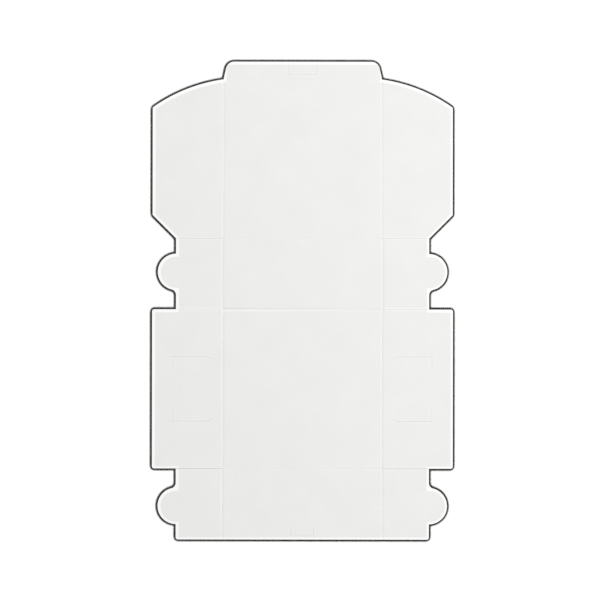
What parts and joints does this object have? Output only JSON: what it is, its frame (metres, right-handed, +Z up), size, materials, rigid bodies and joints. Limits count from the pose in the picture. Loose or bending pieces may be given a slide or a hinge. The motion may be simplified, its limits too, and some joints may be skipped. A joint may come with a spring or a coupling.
{
  "type": "bakery box",
  "caption": "Flat die-cut blank of a one-piece paperboard bakery box, with creased walls, lock-corner flaps and a hinged lid with wings and a tuck lip.",
  "frame": {"origin": "middle of the base panel, on the underside of the board", "axes": "+X to the right across the box, +Y from the front wall towards the lid, +Z up, the side that the panels fold to"},
  "size_m": [0.4314, 0.6853, 0.0004],
  "materials": {
    "board": "matte"
  },
  "bodies": {
    "base": {"base": "board"},
    "left_wall": {"left_wall": "board"},
    "right_wall": {"right_wall": "board"},
    "front_wall": {"front_wall": "board"},
    "front_left_flap": {"front_left_flap": "board"},
    "front_right_flap": {"front_right_flap": "board"},
    "back_wall": {"back_wall": "board"},
    "back_left_flap": {"back_left_flap": "board"},
    "back_right_flap": {"back_right_flap": "board"},
    "lid": {"lid": "board"},
    "lid_left_wing": {"lid_left_wing": "board"},
    "lid_right_wing": {"lid_right_wing": "board"},
    "lid_lip": {"lid_lip": "board"}
  },
  "joints": [
    {"name": "left_wall_fold", "type": "hinge", "parent": "base", "child": "left_wall", "pos_m": [-0.1143, 0, 0.00045], "axis": [0, 1, 0], "range_deg": [0, 90]},
    {"name": "right_wall_fold", "type": "hinge", "parent": "base", "child": "right_wall", "pos_m": [0.1143, 0, 0.00045], "axis": [0, -1, 0], "range_deg": [0, 90]},
    {"name": "front_wall_fold", "type": "hinge", "parent": "base", "child": "front_wall", "pos_m": [0, -0.1143, 0.00045], "axis": [-1, 0, 0], "range_deg": [0, 90]},
    {"name": "front_left_flap_fold", "type": "hinge", "parent": "front_wall", "child": "front_left_flap", "pos_m": [-0.11485, -0.1651, 0.00045], "axis": [0, 1, 0], "range_deg": [0, 90]},
    {"name": "front_right_flap_fold", "type": "hinge", "parent": "front_wall", "child": "front_right_flap", "pos_m": [0.11485, -0.1651, 0.00045], "axis": [0, -1, 0], "range_deg": [0, 90]},
    {"name": "back_wall_fold", "type": "hinge", "parent": "base", "child": "back_wall", "pos_m": [0, 0.1143, 0.00045], "axis": [1, 0, 0], "range_deg": [0, 90]},
    {"name": "back_left_flap_fold", "type": "hinge", "parent": "back_wall", "child": "back_left_flap", "pos_m": [-0.11485, 0.1651, 0.00045], "axis": [0, 1, 0], "range_deg": [0, 90]},
    {"name": "back_right_flap_fold", "type": "hinge", "parent": "back_wall", "child": "back_right_flap", "pos_m": [0.11485, 0.1651, 0.00045], "axis": [0, -1, 0], "range_deg": [0, 90]},
    {"name": "lid_fold", "type": "hinge", "parent": "back_wall", "child": "lid", "pos_m": [0, 0.2159, 0.00045], "axis": [1, 0, 0], "range_deg": [0, 90]},
    {"name": "lid_left_wing_fold", "type": "hinge", "parent": "lid", "child": "lid_left_wing", "pos_m": [-0.11375, 0.32993, 0.00045], "axis": [0, 1, 0], "range_deg": [0, 90]},
    {"name": "lid_right_wing_fold", "type": "hinge", "parent": "lid", "child": "lid_right_wing", "pos_m": [0.11375, 0.32993, 0.00045], "axis": [0, -1, 0], "range_deg": [0, 90]},
    {"name": "lid_lip_fold", "type": "hinge", "parent": "lid", "child": "lid_lip", "pos_m": [0, 0.44395, 0.00045], "axis": [1, 0, 0], "range_deg": [0, 90]}
  ]
}
